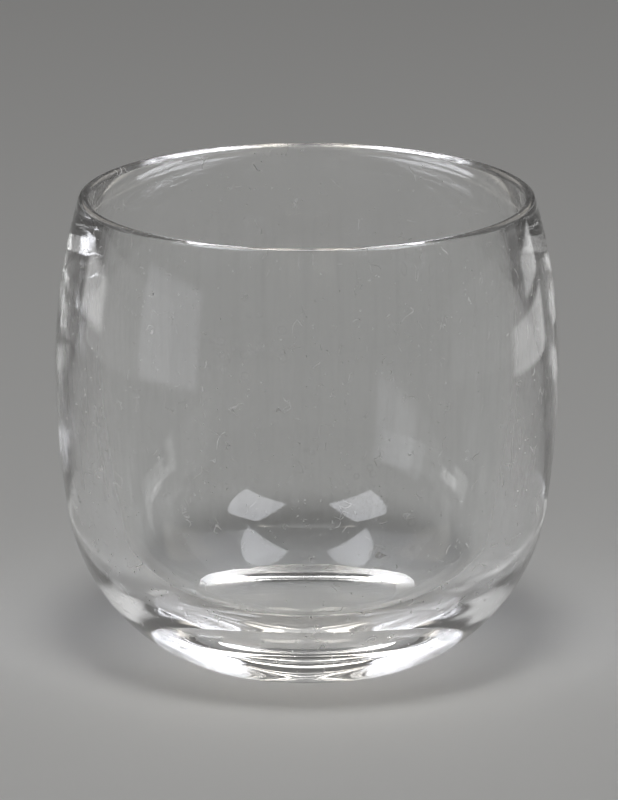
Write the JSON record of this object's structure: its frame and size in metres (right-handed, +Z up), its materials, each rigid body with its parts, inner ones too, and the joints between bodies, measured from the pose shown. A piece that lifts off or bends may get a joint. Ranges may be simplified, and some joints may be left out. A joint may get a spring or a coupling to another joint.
{
  "type": "stemless cocktail glass",
  "caption": "Clear stemless cocktail glass with a round belly, drawn-in melted rim, thick lower wall and heavy base on a flat foot ring; holds an iced drink.",
  "frame": {"origin": "centre of the foot ring, on the surface that the glass stands on", "axes": "+Z up along the axis of the glass, towards the open mouth; the glass is round, so X and Y are free"},
  "size_m": [0.09, 0.09, 0.0836],
  "materials": {
    "clear_glass": "clear, polished, rim melted round, foot ring lightly worn"
  },
  "bodies": {
    "root": {"tumbler": "clear_glass"}
  },
  "joints": []
}
